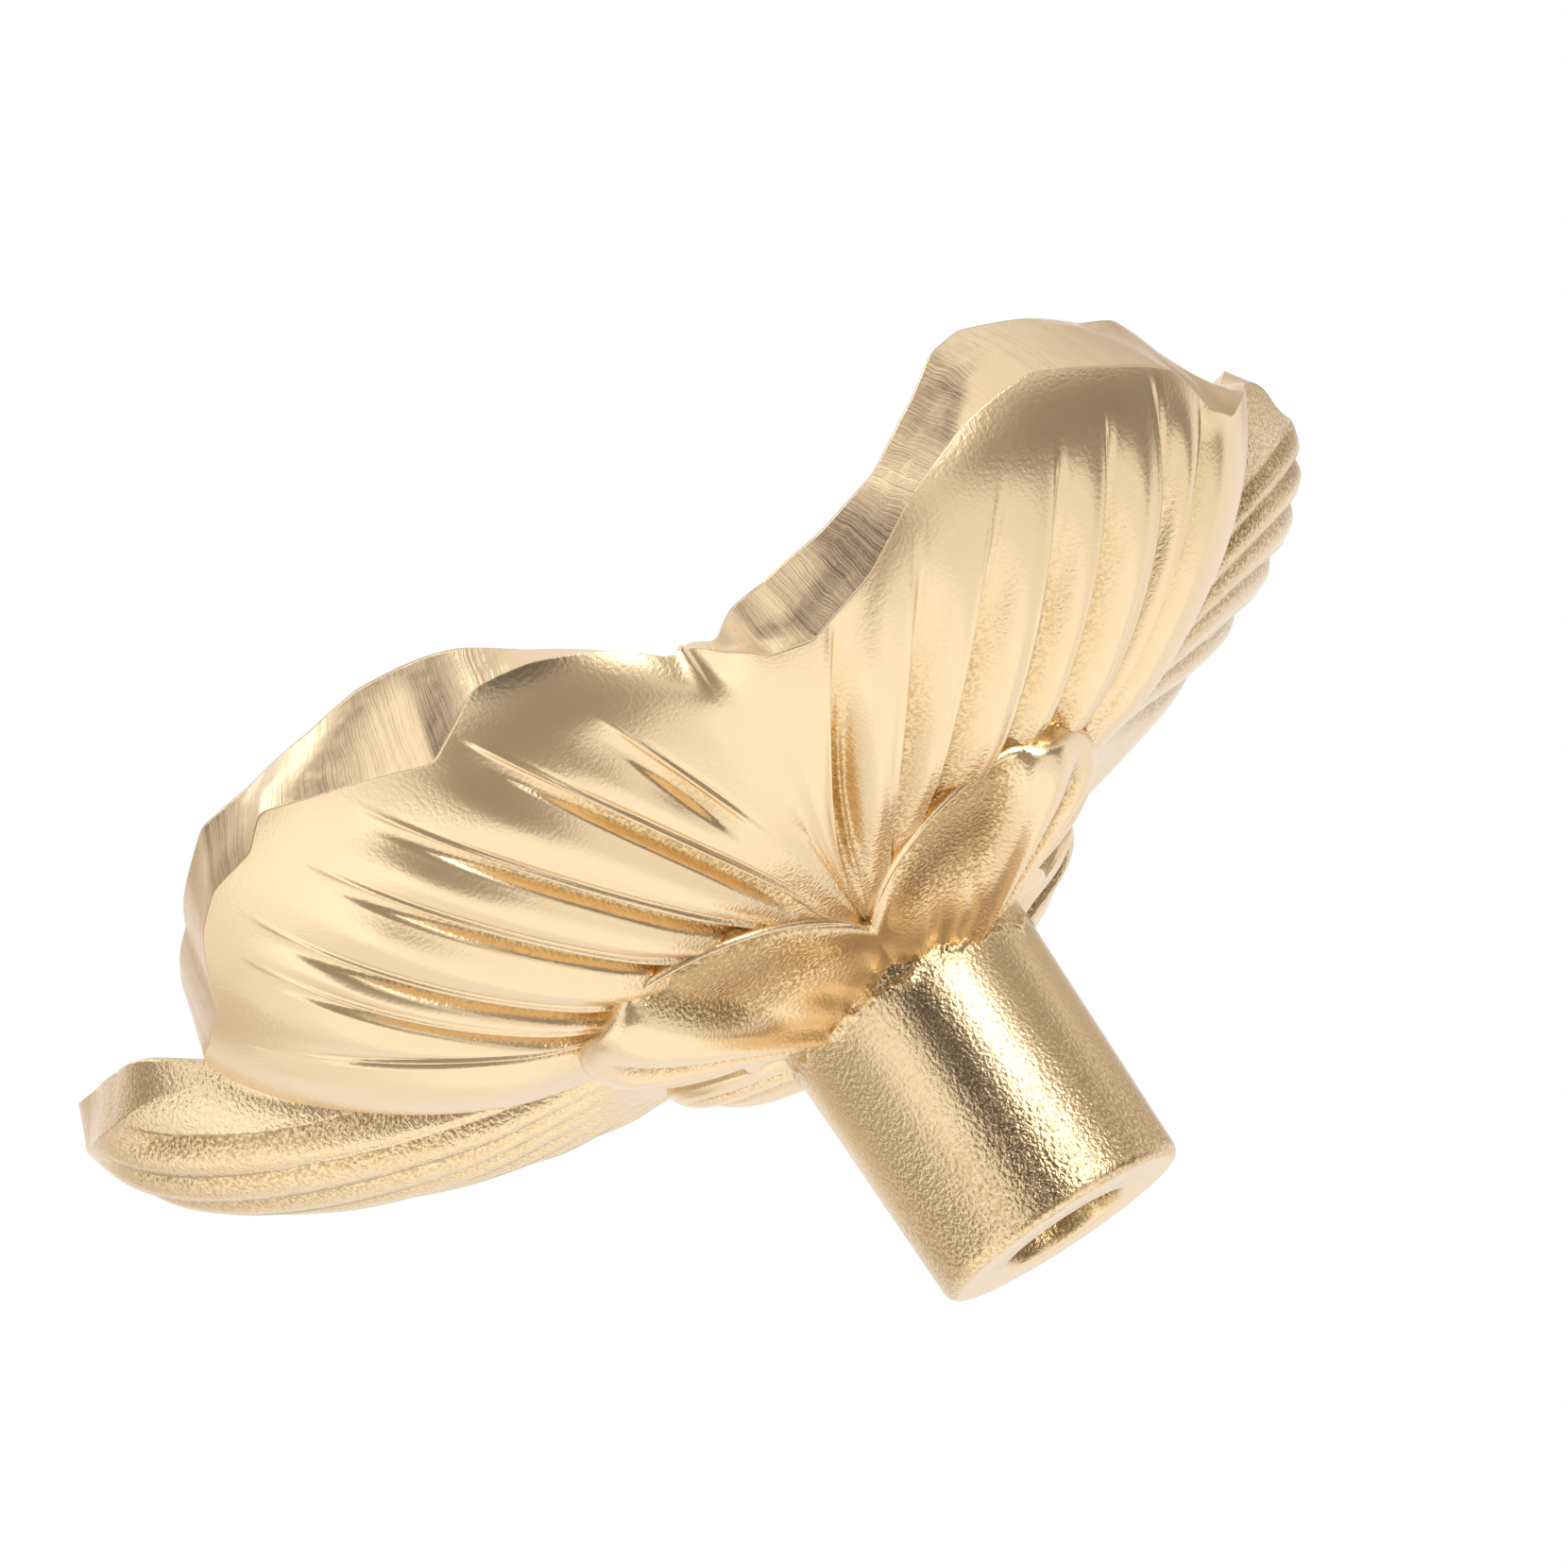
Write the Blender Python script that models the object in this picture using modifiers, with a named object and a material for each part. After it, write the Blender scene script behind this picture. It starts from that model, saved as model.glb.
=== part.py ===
# Flower cabinet knob, cast in brass: five petals, a calyx of four sepals and a tapped stem, all one solid.
# Units are metres. The origin is the centre of the stem's end face, which seats on the drawer front,
# and +Z runs along the stem to the flower. Azimuth 0 faces -Y and turns towards +X, in degrees.

import math
from collections import namedtuple

import bmesh
import bpy

MM = 0.001

# Stem: a slightly tapered round post with a blind screw hole in its end
STEM_END_RADIUS = 4.25 * MM
STEM_TOP_RADIUS = 4.45 * MM
STEM_EDGE_ROUND = 0.35 * MM
HOLE_RADIUS = 1.65 * MM
HOLE_MOUTH_RADIUS = 2.15 * MM
HOLE_DEPTH = 9.0 * MM
HOLE_TIP = 0.9 * MM
CUTTER_OVERRUN = 1.0 * MM

# Flower: where the bowl leaves the stem, the floor of its cup, and the valleys between its petals
FLOWER_FOOT_HEIGHT = 10.6 * MM
CUP_FLOOR_HEIGHT = 13.6 * MM
VALLEY_AZIMUTHS = (-147.0, -76.0, 0.5, 72.0, 146.0)
VALLEY_REACH = 18.7 * MM
VALLEY_HEIGHT = 17.2 * MM
LIP_ROUND = 0.45 * MM

# A petal swells from 0 in its valleys to 1 on its middle, as a rounded superellipse
SWELL_FULLNESS = 2.3
SWELL_ROUNDNESS = 1.7

# The outer profile is one cubic curve from foot to rim. These are its handles.
CREST_FOOT_HANDLE = 10.1 * MM
VALLEY_FOOT_HANDLE = 7.0 * MM
VALLEY_FOOT_RISE = 0.5 * MM
VALLEY_RIM_HANDLE = 2.4 * MM
VALLEY_RIM_INSET = 0.7 * MM

# The inner profile is one cubic curve from the lip to the middle of the cup's floor
CREST_LIP_HANDLE = 5.7 * MM
CREST_LIP_FLARE = 0.8 * MM
CREST_FLOOR_HANDLE = 13.5 * MM
CREST_FLOOR_DROP = 1.4 * MM
VALLEY_LIP_HANDLE = 2.0 * MM
VALLEY_LIP_INSET = 2.0 * MM
VALLEY_FLOOR_HANDLE = 10.5 * MM

# The petals, by the side that they are on. Each has its own reach from the axis and height above the
# stem's end, and the handles that round its belly at the foot and under the rim.
LEFT_REACH = 25.4 * MM
LEFT_HEIGHT = 20.9 * MM
LEFT_FOOT_DROP = -0.5 * MM
LEFT_RIM_DROP = 5.9 * MM
FRONT_LEFT_REACH = 22.7 * MM
FRONT_LEFT_HEIGHT = 21.4 * MM
FRONT_RIGHT_REACH = 22.9 * MM
FRONT_RIGHT_HEIGHT = 20.4 * MM
RIGHT_REACH = 20.5 * MM
RIGHT_HEIGHT = 19.4 * MM
RIGHT_FOOT_DROP = -3.3 * MM
RIGHT_RIM_DROP = 5.9 * MM
BACK_REACH = 22.5 * MM
BACK_HEIGHT = 20.8 * MM
PETAL_FOOT_DROP = 0.6 * MM
PETAL_RIM_DROP = 5.6 * MM

# Veins: grooves that fan out along the outside of each petal, given as shares of the petal's span at
# the foot and at the tip
VEIN_DEPTH = 0.55 * MM
VEIN_HALF_WIDTH = 0.95 * MM
VEIN_START = 0.20
VEIN_END = 0.80
VEIN_FADE = 0.18
EVEN_VEINS = tuple((0.19 + 0.13 * k, 0.13 + 0.15 * k) for k in range(6))
FRONT_LEFT_VEINS = ((0.43, 0.27), (0.56, 0.44), (0.69, 0.54), (0.78, 0.63), (0.90, 0.77), (0.97, 0.88))
FRONT_RIGHT_VEINS = ((0.04, 0.18), (0.17, 0.30), (0.30, 0.385), (0.41, 0.48), (0.52, 0.545), (0.615, 0.63),
                     (0.72, 0.74))

# The rim of each petal is ground. A station is a share of the petal's span, the share of the outer
# profile that the grinding left, and how far in and up the ground face runs from there, as multiples
# of GROUND_INSET and GROUND_RISE.
GROUND_INSET = 1.0 * MM
GROUND_RISE = 1.0 * MM
VALLEY_STATION = (1.0, 0.3, 0.2)
LEFT_RIM = ((0.15, 0.90, 1.5, 1.6), (0.32, 0.92, 1.6, 1.9), (0.49, 0.94, 1.6, 1.4), (0.66, 0.97, 0.6, 1.3),
            (0.72, 0.97, 0.7, 1.1), (0.77, 0.94, 1.2, 1.5), (0.87, 0.95, 1.1, 1.4), (0.94, 0.98, 0.4, 1.3))
FRONT_LEFT_RIM = (
    (0.08, 0.92, 0.9, 0.7), (0.17, 0.88, 1.0, 1.4), (0.27, 0.86, 1.0, 1.8), (0.37, 0.94, 0.8, 0.9),
    (0.43, 0.92, 1.0, 2.0), (0.50, 0.92, 1.6, 2.0), (0.54, 0.96, 1.8, 1.4), (0.60, 0.92, 1.8, 2.1),
    (0.67, 0.88, 1.8, 3.0), (0.72, 0.85, 1.8, 3.4), (0.76, 0.89, 1.8, 2.6), (0.80, 0.94, 1.4, 1.5),
    (0.86, 0.95, 0.7, 0.5), (0.93, 0.94, 0.6, 0.1), (0.98, 0.93, 0.4, 0.0))
FRONT_RIGHT_RIM = (
    (0.035, 0.86, 0.8, 0.6), (0.08, 0.76, 1.9, 2.3), (0.13, 0.72, 1.8, 2.7), (0.22, 0.75, 1.8, 2.3),
    (0.30, 0.83, 1.8, 1.5), (0.385, 0.885, 1.8, 1.9), (0.43, 0.90, 1.6, 2.5), (0.48, 0.91, 1.7, 2.6),
    (0.58, 0.87, 1.7, 2.9), (0.68, 0.84, 1.8, 2.9), (0.76, 0.76, 1.0, 4.1), (0.83, 0.76, 0.9, 3.2),
    (0.90, 0.84, 1.0, 0.6))
RIGHT_RIM = ((0.08, 1.00, 0.5, 0.6), (0.18, 0.90, 0.9, 1.9), (0.30, 0.85, 1.3, 1.9), (0.43, 0.94, 1.1, 0.9),
             (0.59, 0.93, 1.5, 1.5), (0.76, 0.90, 1.6, 1.8), (0.89, 0.93, 1.2, 1.2))
BACK_RIM = ((0.13, 0.90, 1.5, 1.6), (0.33, 0.93, 1.6, 1.8), (0.51, 0.90, 1.8, 2.2), (0.69, 0.94, 1.5, 1.4),
            (0.87, 0.89, 1.5, 1.8))

Petal = namedtuple("Petal", "reach height foot_drop rim_drop veins rim")
PETALS = (
    Petal(LEFT_REACH, LEFT_HEIGHT, LEFT_FOOT_DROP, LEFT_RIM_DROP, EVEN_VEINS, LEFT_RIM),
    Petal(FRONT_LEFT_REACH, FRONT_LEFT_HEIGHT, PETAL_FOOT_DROP, PETAL_RIM_DROP, FRONT_LEFT_VEINS,
          FRONT_LEFT_RIM),
    Petal(FRONT_RIGHT_REACH, FRONT_RIGHT_HEIGHT, PETAL_FOOT_DROP, PETAL_RIM_DROP, FRONT_RIGHT_VEINS,
          FRONT_RIGHT_RIM),
    Petal(RIGHT_REACH, RIGHT_HEIGHT, RIGHT_FOOT_DROP, RIGHT_RIM_DROP, EVEN_VEINS, RIGHT_RIM),
    Petal(BACK_REACH, BACK_HEIGHT, PETAL_FOOT_DROP, PETAL_RIM_DROP, EVEN_VEINS, BACK_RIM),
)

# Calyx: four sepals under the foot of the flower, with the round of their edges
LEFT_SEPAL_REACH = 10.6 * MM
FRONT_LEFT_SEPAL_REACH = 12.8 * MM
FRONT_RIGHT_SEPAL_REACH = 12.5 * MM
RIGHT_SEPAL_REACH = 9.4 * MM
SEPAL_HEIGHT = 12.2 * MM
FRONT_RIGHT_SEPAL_HEIGHT = 11.9 * MM
RIGHT_SEPAL_HEIGHT = 12.8 * MM
Sepal = namedtuple("Sepal", "azimuth half_span reach height")
SEPALS = (
    Sepal(-140.0, 42.0, LEFT_SEPAL_REACH, SEPAL_HEIGHT),
    Sepal(-38.0, 42.0, FRONT_LEFT_SEPAL_REACH, SEPAL_HEIGHT),
    Sepal(36.0, 38.0, FRONT_RIGHT_SEPAL_REACH, FRONT_RIGHT_SEPAL_HEIGHT),
    Sepal(140.0, 40.0, RIGHT_SEPAL_REACH, RIGHT_SEPAL_HEIGHT),
)
SEPAL_ROUNDNESS = 0.8
SEPAL_VALLEY_REACH = 5.6 * MM
SEPAL_VALLEY_HEIGHT = 10.2 * MM
SEPAL_EDGE_HEIGHT = 0.5 * MM
SEPAL_EDGE_WIDTH = 0.35 * MM
CALYX_FOOT_INSET = 0.45 * MM
CALYX_FOOT_HEIGHT = 8.3 * MM
CALYX_BELLY_RISE = 0.6 * MM
CALYX_BELLY_PLACE = 0.45
CALYX_SHOULDER_PLACE = 0.95
CALYX_SHOULDER_HEIGHT = 0.35
CALYX_TOP_PLACE = 0.4

# Mesh density
STEM_SIDES = 60
STEM_EDGE_TURNS = (0.0, 30.0, 60.0, 90.0)
FLOWER_COLUMNS = 160
OUTER_ROWS = 16
INNER_ROWS = 8
CALYX_COLUMNS = 96
CALYX_ROWS = 10
MERGE = 0.01 * MM
SHARP_ANGLE = 40.0


def clear_scene():
    for obj in list(bpy.data.objects):
        bpy.data.objects.remove(obj, do_unlink=True)


def make_collection(name):
    collection = bpy.data.collections.new(name)
    bpy.context.scene.collection.children.link(collection)
    return collection


def mix(a, b, share):
    return a + (b - a) * share


def clamp(value):
    return max(0.0, min(1.0, value))


def cubic(points, t):
    """Point and tangent of a cubic curve in the plane of radius and height."""
    u = 1 - t
    weights = (u ** 3, 3 * u * u * t, 3 * u * t * t, t ** 3)
    slopes = (-3 * u * u, 3 * u * u - 6 * u * t, 6 * u * t - 3 * t * t, 3 * t * t)
    point = [sum(weight * p[axis] for weight, p in zip(weights, points)) for axis in (0, 1)]
    tangent = [sum(slope * p[axis] for slope, p in zip(slopes, points)) for axis in (0, 1)]
    return point, tangent


def mix_curves(valley, crest, swell):
    return [(mix(v[0], c[0], swell), mix(v[1], c[1], swell)) for v, c in zip(valley, crest)]


def petal_at(azimuth):
    """The petal that holds an azimuth, the azimuth's share of the petal's span, and that span."""
    for index, start in enumerate(VALLEY_AZIMUTHS):
        end = VALLEY_AZIMUTHS[(index + 1) % len(VALLEY_AZIMUTHS)]
        span = (end - start) % 360
        place = (azimuth - start) % 360 / span
        if place < 1:
            return PETALS[index], place, span
    raise ValueError("the valleys leave a gap")


def petal_swell(place):
    offset = abs(2 * place - 1)
    return max(0.0, 1 - offset ** SWELL_FULLNESS) ** (1 / SWELL_ROUNDNESS)


def rim_at(petal, place):
    """The share of the outer profile left at a place on the rim, and the ground face's inset and rise."""
    stations = ((0.0, *VALLEY_STATION), *petal.rim, (1.0, *VALLEY_STATION))
    for left, right in zip(stations, stations[1:]):
        if place <= right[0]:
            share = (place - left[0]) / (right[0] - left[0])
            kept, inset, rise = (mix(a, b, share) for a, b in zip(left[1:], right[1:]))
            return kept, inset * GROUND_INSET, rise * GROUND_RISE
    raise ValueError("the rim ends before its valley")


def outer_curve(petal, swell):
    foot = (STEM_TOP_RADIUS, FLOWER_FOOT_HEIGHT)
    crest = (foot,
             (foot[0] + CREST_FOOT_HANDLE, foot[1] - petal.foot_drop),
             (petal.reach, petal.height - petal.rim_drop),
             (petal.reach, petal.height))
    valley = (foot,
              (foot[0] + VALLEY_FOOT_HANDLE, foot[1] + VALLEY_FOOT_RISE),
              (VALLEY_REACH - VALLEY_RIM_INSET, VALLEY_HEIGHT - VALLEY_RIM_HANDLE),
              (VALLEY_REACH, VALLEY_HEIGHT))
    return mix_curves(valley, crest, swell)


def inner_curve(lip, swell):
    floor = (0.0, CUP_FLOOR_HEIGHT)
    crest = (lip,
             (lip[0] + CREST_LIP_FLARE, lip[1] - CREST_LIP_HANDLE),
             (CREST_FLOOR_HANDLE, floor[1] - CREST_FLOOR_DROP),
             floor)
    valley = (lip,
              (lip[0] - VALLEY_LIP_INSET, lip[1] - VALLEY_LIP_HANDLE),
              (VALLEY_FLOOR_HANDLE, floor[1]),
              floor)
    return mix_curves(valley, crest, swell)


def vein_depth(petal, place, span, along, radius):
    """Depth of the vein grooves at a point of a petal's outside."""
    fade = clamp((along - VEIN_START) / VEIN_FADE) * clamp((VEIN_END - along) / VEIN_FADE)
    nearest = 1.0
    for foot_place, tip_place in petal.veins:
        line = mix(foot_place, tip_place, (along - VEIN_START) / (VEIN_END - VEIN_START))
        distance = math.radians(abs(place - line) * span) * radius
        nearest = min(nearest, distance / VEIN_HALF_WIDTH)
    return VEIN_DEPTH * fade * (0.5 + 0.5 * math.cos(math.pi * nearest))


def flower_section(azimuth):
    """Radius and height of every row at one azimuth: up the outside, over the rim, down into the cup."""
    petal, place, span = petal_at(azimuth)
    swell = petal_swell(place)
    kept, inset, rise = rim_at(petal, place)
    outer = outer_curve(petal, swell)
    rows = []
    for row in range(OUTER_ROWS):
        along = kept * row / (OUTER_ROWS - 1)
        (radius, height), (outward, upward) = cubic(outer, along)
        sunk = vein_depth(petal, place, span, along, radius) / math.hypot(outward, upward)
        rows.append((radius - upward * sunk, height + outward * sunk))
    top = (rows[-1][0] - inset, rows[-1][1] + rise)
    lip = (top[0] - LIP_ROUND, top[1] - LIP_ROUND / 2)
    rows.append(top)
    inner = inner_curve(lip, swell)
    for row in range(INNER_ROWS):
        rows.append(tuple(cubic(inner, row / INNER_ROWS)[0]))
    return rows


def hidden_top():
    """Where the stem and calyx end inside the flower, half way up to the floor of its cup."""
    return (FLOWER_FOOT_HEIGHT + CUP_FLOOR_HEIGHT) / 2


def calyx_outline(azimuth):
    """Reach and height of the calyx's edge at an azimuth: the widest of its sepals there."""
    swell, reach, height = 0.0, SEPAL_VALLEY_REACH, SEPAL_VALLEY_HEIGHT
    for sepal in SEPALS:
        offset = abs((azimuth - sepal.azimuth + 180) % 360 - 180) / sepal.half_span
        own_swell = math.cos(math.pi / 2 * min(1.0, offset)) ** SEPAL_ROUNDNESS
        if own_swell > swell:
            swell = own_swell
            reach = mix(SEPAL_VALLEY_REACH, sepal.reach, swell)
            height = mix(SEPAL_VALLEY_HEIGHT, sepal.height, swell)
    return reach, height


def calyx_section(azimuth):
    """Radius and height of every row of the calyx at one azimuth, from its foot to its hidden top."""
    reach, height = calyx_outline(azimuth)
    foot = (STEM_TOP_RADIUS - CALYX_FOOT_INSET, CALYX_FOOT_HEIGHT)
    curve = (foot,
             (mix(foot[0], reach, CALYX_BELLY_PLACE), foot[1] + CALYX_BELLY_RISE),
             (mix(foot[0], reach, CALYX_SHOULDER_PLACE), mix(foot[1], height, CALYX_SHOULDER_HEIGHT)),
             (reach, height - SEPAL_EDGE_HEIGHT))
    rows = [tuple(cubic(curve, row / (CALYX_ROWS - 1))[0]) for row in range(CALYX_ROWS)]
    rows.append((reach - SEPAL_EDGE_WIDTH, height))
    rows.append((mix(foot[0], reach, CALYX_TOP_PLACE), hidden_top()))
    return rows


def make_sphere_mapped(name, section, columns, foot_height, top_height):
    """A sphere whose rings are carried onto the sections, so the body is closed at both poles."""
    row_count = len(section(0.0))
    sections = [section(360 * step / columns) for step in range(columns)]
    bm = bmesh.new()
    bmesh.ops.create_uvsphere(bm, u_segments=columns, v_segments=row_count + 1, radius=1.0)
    for vert in bm.verts:
        climb = math.atan2(math.hypot(vert.co.x, vert.co.y), -vert.co.z)
        row = round(climb / math.pi * (row_count + 1)) - 1
        step = round(math.atan2(vert.co.x, -vert.co.y) / math.tau * columns) % columns
        if row < 0:
            vert.co = (0.0, 0.0, foot_height)
        elif row >= row_count:
            vert.co = (0.0, 0.0, top_height)
        else:
            radius, height = sections[step][row]
            turned = math.tau * step / columns
            vert.co = (radius * math.sin(turned), -radius * math.cos(turned), height)
    bmesh.ops.recalc_face_normals(bm, faces=bm.faces)
    mesh = bpy.data.meshes.new(name)
    bm.to_mesh(mesh)
    bm.free()
    return bpy.data.objects.new(name, mesh)


def make_turned(name, profile):
    """A profile of radius and height points, top to bottom, turned about Z."""
    mesh = bpy.data.meshes.new(name)
    edges = [(k, k + 1) for k in range(len(profile) - 1)]
    mesh.from_pydata([(radius, 0.0, height) for radius, height in profile], edges, [])
    obj = bpy.data.objects.new(name, mesh)
    screw = obj.modifiers.new("turn", "SCREW")
    screw.steps = STEM_SIDES
    screw.render_steps = STEM_SIDES
    screw.use_merge_vertices = True
    screw.merge_threshold = MERGE
    return obj


def make_stem():
    """The stem, up into the floor of the flower, with a rounded edge at its end face."""
    profile = [(0.0, hidden_top()), (STEM_TOP_RADIUS, hidden_top())]
    for turn in STEM_EDGE_TURNS:
        across = STEM_EDGE_ROUND * (1 - math.cos(math.radians(turn)))
        up = STEM_EDGE_ROUND * (1 - math.sin(math.radians(turn)))
        profile.append((STEM_END_RADIUS - across, up))
    profile.append((0.0, 0.0))
    return make_turned("stem_core", profile)


def make_hole_cutter():
    """The screw hole: a countersunk mouth, a straight core and a drill-point end."""
    profile = [(0.0, HOLE_DEPTH + HOLE_TIP),
               (HOLE_RADIUS, HOLE_DEPTH),
               (HOLE_RADIUS, HOLE_MOUTH_RADIUS - HOLE_RADIUS),
               (HOLE_MOUTH_RADIUS, 0.0),
               (HOLE_MOUTH_RADIUS, -CUTTER_OVERRUN),
               (0.0, -CUTTER_OVERRUN)]
    return make_turned("hole_cutter", profile)


def make_brass():
    material = bpy.data.materials.new("cast_brass")
    material.use_nodes = True
    shader = material.node_tree.nodes["Principled BSDF"]
    shader.inputs["Base Color"].default_value = (0.66, 0.49, 0.27, 1.0)
    shader.inputs["Metallic"].default_value = 1.0
    shader.inputs["Roughness"].default_value = 0.38
    return material


def add_boolean(obj, tool, operation):
    modifier = obj.modifiers.new(tool.name, "BOOLEAN")
    modifier.operation = operation
    modifier.solver = "EXACT"
    modifier.object = tool


def build():
    clear_scene()
    parts = make_collection("flower_cabinet_knob")
    cutters = make_collection("cutters")
    knob = make_sphere_mapped("flower_knob", flower_section, FLOWER_COLUMNS,
                              FLOWER_FOOT_HEIGHT, CUP_FLOOR_HEIGHT)
    parts.objects.link(knob)
    knob.data.materials.append(make_brass())
    calyx = make_sphere_mapped("calyx_core", calyx_section, CALYX_COLUMNS, CALYX_FOOT_HEIGHT, hidden_top())
    for tool, operation in ((calyx, "UNION"), (make_stem(), "UNION"), (make_hole_cutter(), "DIFFERENCE")):
        cutters.objects.link(tool)
        tool.hide_render = True
        tool.display_type = "WIRE"
        add_boolean(knob, tool, operation)
    knob.data.shade_smooth()
    knob.data.set_sharp_from_angle(angle=math.radians(SHARP_ANGLE))


build()
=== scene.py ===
import math
from collections import namedtuple

import bpy
import numpy as np
from mathutils import Matrix, Vector


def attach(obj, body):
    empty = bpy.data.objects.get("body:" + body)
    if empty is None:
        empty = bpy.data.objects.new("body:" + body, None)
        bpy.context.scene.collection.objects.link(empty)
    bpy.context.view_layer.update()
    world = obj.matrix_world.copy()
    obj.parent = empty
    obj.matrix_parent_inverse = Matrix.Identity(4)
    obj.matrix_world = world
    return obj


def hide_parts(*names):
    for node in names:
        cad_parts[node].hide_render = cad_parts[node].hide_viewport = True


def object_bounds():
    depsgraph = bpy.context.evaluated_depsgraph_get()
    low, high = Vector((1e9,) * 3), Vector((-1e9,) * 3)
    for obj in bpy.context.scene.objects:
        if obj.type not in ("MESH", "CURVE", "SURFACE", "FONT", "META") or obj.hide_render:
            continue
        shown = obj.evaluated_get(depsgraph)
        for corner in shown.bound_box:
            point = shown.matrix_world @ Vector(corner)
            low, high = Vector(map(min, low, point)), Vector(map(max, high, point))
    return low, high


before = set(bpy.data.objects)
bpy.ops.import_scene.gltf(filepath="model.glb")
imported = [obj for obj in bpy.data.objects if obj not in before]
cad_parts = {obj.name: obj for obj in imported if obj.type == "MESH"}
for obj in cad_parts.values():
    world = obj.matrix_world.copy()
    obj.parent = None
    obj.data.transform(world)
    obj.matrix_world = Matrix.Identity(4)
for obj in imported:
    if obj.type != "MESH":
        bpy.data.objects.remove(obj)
cad_low, cad_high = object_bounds()

MM = 0.001
MERGE_DISTANCE = 0.000001

# Stem
STEM_COLUMNS = 240
STEM_END_RADIUS = 4.25
STEM_TOP_RADIUS = 4.45
STEM_EDGE_ROUND = 0.35
END_FACE_RADIUS = 3.2

# Flash that the mould left round the top of the stem
FLASH_HEIGHT = 8.6
FLASH_PROUD = 0.07
FLASH_UNEVEN = 0.09
FLASH_WANDER = 0.25
FLASH_WIDTH = 0.13

# Screw hole: a mouth with a small edge, which narrows to the thread
HOLE_RADIUS = 1.65
HOLE_MOUTH_RADIUS = 2.15
HOLE_MOUTH_EDGE = 0.06
HOLE_MOUTH_STEP = 0.08
HOLE_MOUTH_END = 1.1
HOLE_DEPTH = 9.0
HOLE_TIP = 0.675
HOLE_TIP_RADIUS = 0.4
THREAD_PITCH = 0.7
THREAD_DEPTH = 0.34
THREAD_START = 0.35
THREAD_STEP = 0.07
THREAD_RUN_OUT = 0.6

# Flower, shared by its five petals
FLOWER_FOOT_HEIGHT = 10.6
CUP_FLOOR_HEIGHT = 13.6
HIDDEN_TOP = (FLOWER_FOOT_HEIGHT + CUP_FLOOR_HEIGHT) / 2
VALLEY_REACH = 18.7
VALLEY_HEIGHT = 17.2
LIP_ROUND = 0.45
LIP_FLATNESS = 0.5
SWELL_FULLNESS = 2.3
SWELL_ROUNDNESS = 1.7

# Handles of the profiles' curves, out and up or down from their ends, at a petal's crest and in a valley
CREST_FOOT_HANDLE = 10.1
VALLEY_FOOT_HANDLE = (7.0, 0.5)
VALLEY_RIM_HANDLE = (0.7, 2.4)
CUP_CREST_HANDLE = (0.8, 5.7)
CUP_CREST_FLOOR_HANDLE = (13.5, 1.4)
CUP_VALLEY_HANDLE = (2.0, 2.0)
CUP_VALLEY_FLOOR_HANDLE = 10.5

# The rim station at a valley, as the petals' own stations below
VALLEY_STATION = (1.0, 0.3, 0.2, 0.0)

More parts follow.
